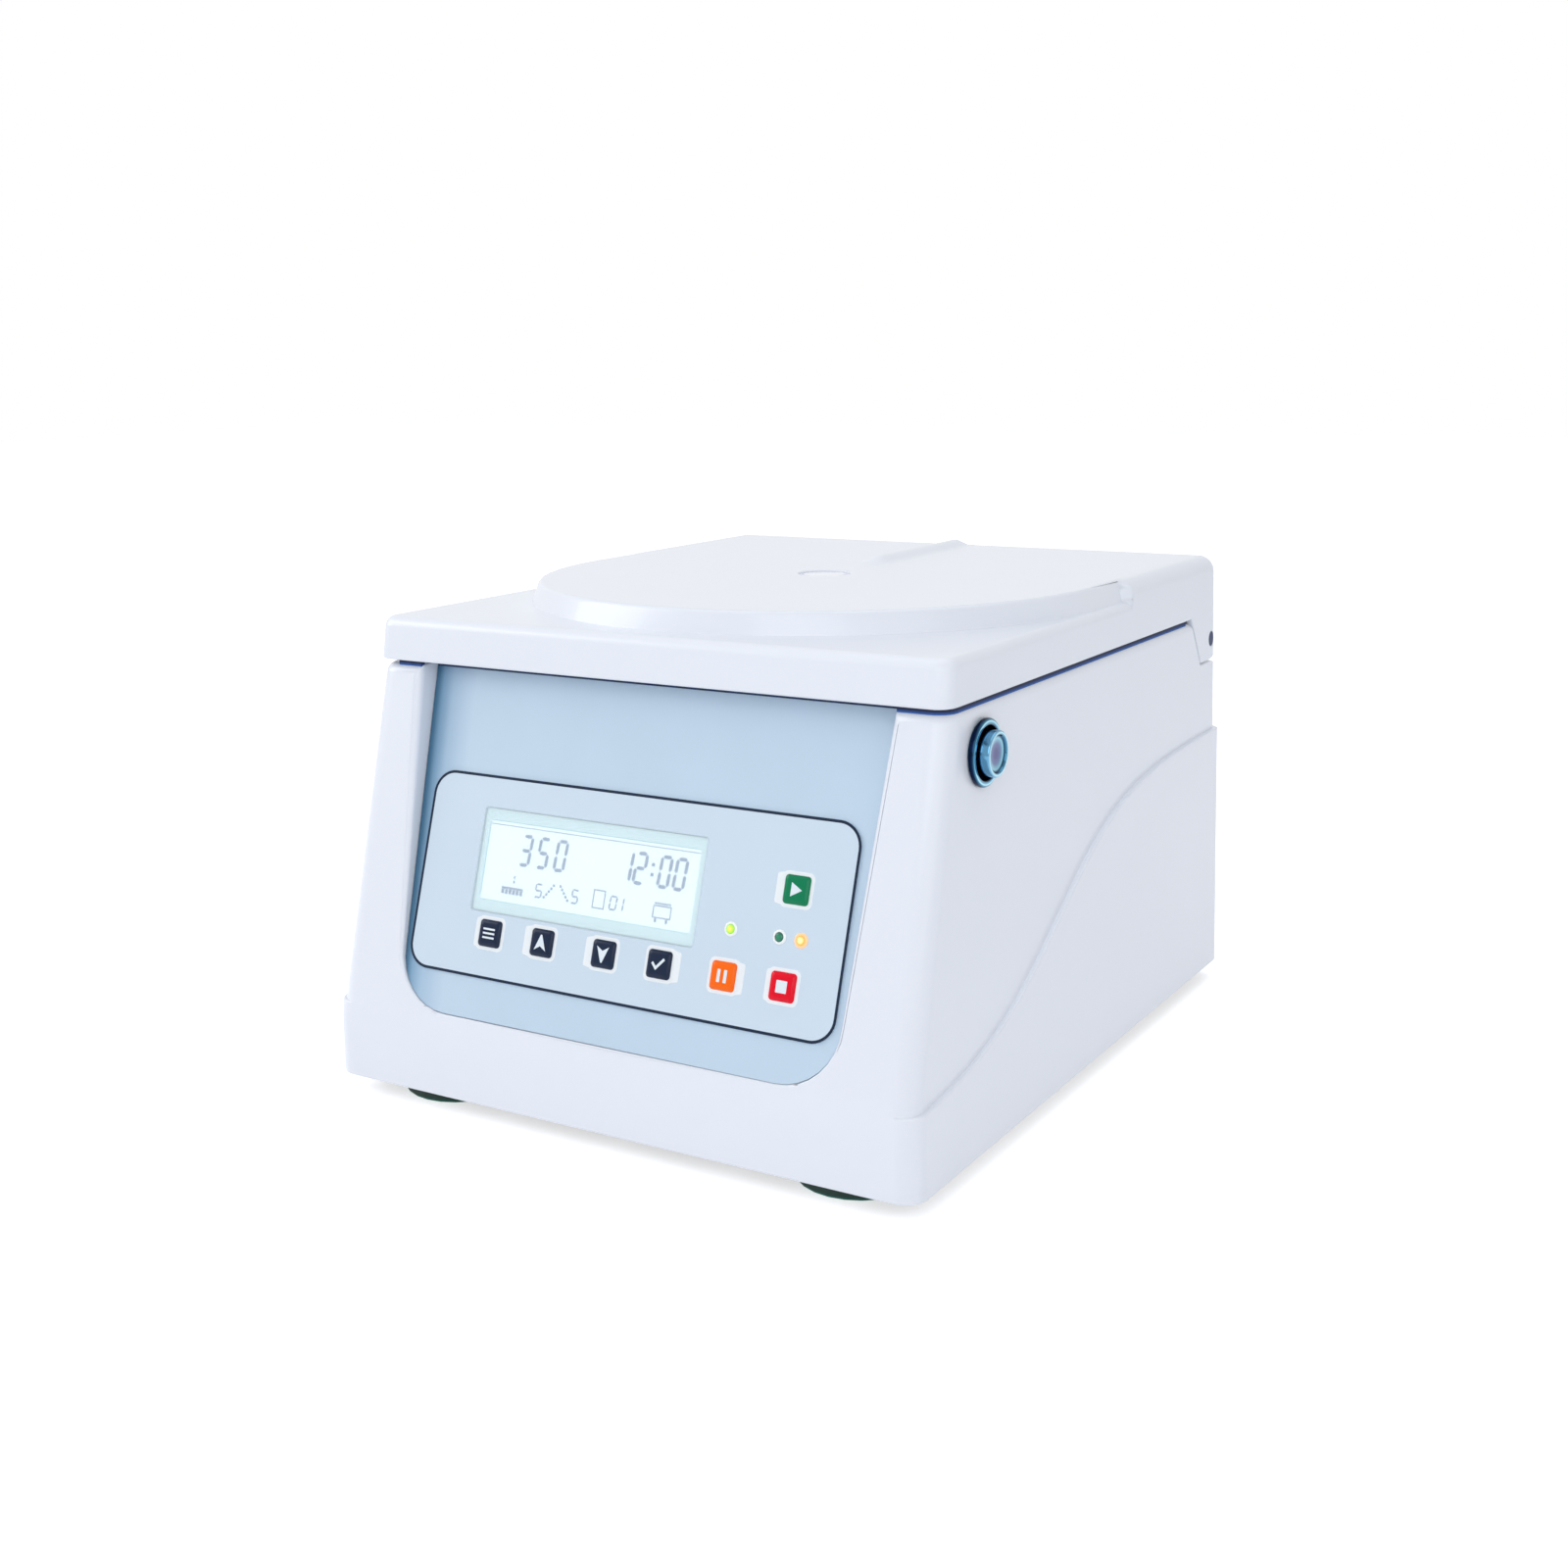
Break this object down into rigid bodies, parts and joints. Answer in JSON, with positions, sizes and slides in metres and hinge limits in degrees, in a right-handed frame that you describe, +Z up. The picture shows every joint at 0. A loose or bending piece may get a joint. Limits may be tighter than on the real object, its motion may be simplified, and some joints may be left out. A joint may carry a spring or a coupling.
{
  "type": "benchtop centrifuge",
  "caption": "Small benchtop centrifuge with a hinged lid, an angle rotor for sample tubes, a sloping key panel with a display and a chrome lid lock button.",
  "frame": {"origin": "middle of the machine's footprint, on the bench", "axes": "+X to the side of the lock button, +Y to the back, +Z up"},
  "size_m": [0.3036, 0.359, 0.23],
  "materials": {
    "shell_white": "fine satin moulding",
    "pan_steel": "zinc grey",
    "panel_blue": "matt pale blue",
    "overlay_blue": "matt printed film",
    "clear_plastic": "clear",
    "display_glass": "lit display",
    "board_green": "circuit board",
    "key_dark": "gloss",
    "key_orange": "gloss",
    "key_red": "gloss",
    "key_green": "gloss",
    "lamp_plastic": "clear tinted",
    "stainless": "brushed",
    "motor_grey": "satin paint",
    "rubber_black": "matt",
    "chrome": "polished",
    "aluminium": "turned",
    "black_plastic": "matt"
  },
  "bodies": {
    "case": {"case_shell": "shell_white", "base_pan": "pan_steel", "motor_plate": "pan_steel", "hinge_arm_left": "pan_steel", "hinge_arm_right": "pan_steel", "fascia_panel": "panel_blue", "keypad_overlay": "overlay_blue", "display_window": "clear_plastic", "display_module": "display_glass", "control_board": "board_green", "power_board": "board_green", "lamp_power": "lamp_plastic", "lamp_ready": "lamp_plastic", "lamp_run": "lamp_plastic", "chamber_bowl": "stainless", "upper_bearing": "stainless", "lower_bearing": "stainless", "lock_nut": "stainless", "motor_housing": "motor_grey", "shaft_boot": "rubber_black", "lock_flange": "chrome", "mains_inlet": "black_plastic", "switch_housing": "black_plastic", "vent_plate": "black_plastic", "foot_front_left": "rubber_black", "foot_front_right": "rubber_black", "foot_rear_left": "rubber_black", "foot_rear_right": "rubber_black", "motor_damper_1": "rubber_black", "motor_damper_2": "rubber_black", "motor_damper_3": "rubber_black", "motor_damper_4": "rubber_black"},
    "lid": {"lid_shell": "shell_white", "lid_liner": "shell_white", "lid_gasket": "rubber_black", "lid_lens": "clear_plastic", "lid_striker": "stainless", "hinge_pin_left": "stainless", "hinge_pin_right": "stainless"},
    "rotor": {"motor_shaft": "stainless", "rotor_plate": "aluminium", "rotor_knob": "black_plastic", "tube_holder_1": "black_plastic", "tube_holder_2": "black_plastic", "tube_holder_3": "black_plastic", "tube_holder_4": "black_plastic", "tube_holder_5": "black_plastic", "tube_holder_6": "black_plastic"},
    "release": {"release_button": "chrome", "catch_bolt": "stainless"},
    "rocker": {"power_rocker": "black_plastic"},
    "key_select": {"key_select": "key_dark"},
    "key_up": {"key_up": "key_dark"},
    "key_down": {"key_down": "key_dark"},
    "key_set": {"key_set": "key_dark"},
    "key_pause": {"key_pause": "key_orange"},
    "key_stop": {"key_stop": "key_red"},
    "key_start": {"key_start": "key_green"}
  },
  "joints": [
    {"name": "lid_hinge", "type": "hinge", "parent": "case", "child": "lid", "pos_m": [-0.00111, 0.16399, 0.1845], "axis": [-1, 0, 0], "range_deg": [0, 80]},
    {"name": "rotor_spin", "type": "hinge", "parent": "case", "child": "rotor", "pos_m": [-0.00111, 0.017, 0.15], "axis": [0, 0, 1], "continuous": true},
    {"name": "key_select_press", "type": "slide", "parent": "case", "child": "key_select", "axis": [0, 0.9503, -0.3113], "range_m": [0, 0.0008], "stiffness_N_per_m": 1800},
    {"name": "key_up_press", "type": "slide", "parent": "case", "child": "key_up", "axis": [0, 0.9503, -0.3113], "range_m": [0, 0.0008], "stiffness_N_per_m": 1800},
    {"name": "key_down_press", "type": "slide", "parent": "case", "child": "key_down", "axis": [0, 0.9503, -0.3113], "range_m": [0, 0.0008], "stiffness_N_per_m": 1800},
    {"name": "key_set_press", "type": "slide", "parent": "case", "child": "key_set", "axis": [0, 0.9503, -0.3113], "range_m": [0, 0.0008], "stiffness_N_per_m": 1800},
    {"name": "key_pause_press", "type": "slide", "parent": "case", "child": "key_pause", "axis": [0, 0.9503, -0.3113], "range_m": [0, 0.0008], "stiffness_N_per_m": 1800},
    {"name": "key_stop_press", "type": "slide", "parent": "case", "child": "key_stop", "axis": [0, 0.9503, -0.3113], "range_m": [0, 0.0008], "stiffness_N_per_m": 1800},
    {"name": "key_start_press", "type": "slide", "parent": "case", "child": "key_start", "axis": [0, 0.9503, -0.3113], "range_m": [0, 0.0008], "stiffness_N_per_m": 1800},
    {"name": "release_press", "type": "slide", "parent": "case", "child": "release", "axis": [-1, 0, 0], "range_m": [0, 0.004], "stiffness_N_per_m": 900},
    {"name": "rocker_tip", "type": "hinge", "parent": "case", "child": "rocker", "pos_m": [-0.03911, 0.1736, 0.063], "axis": [-1, 0, 0], "range_deg": [0, 16]}
  ]
}
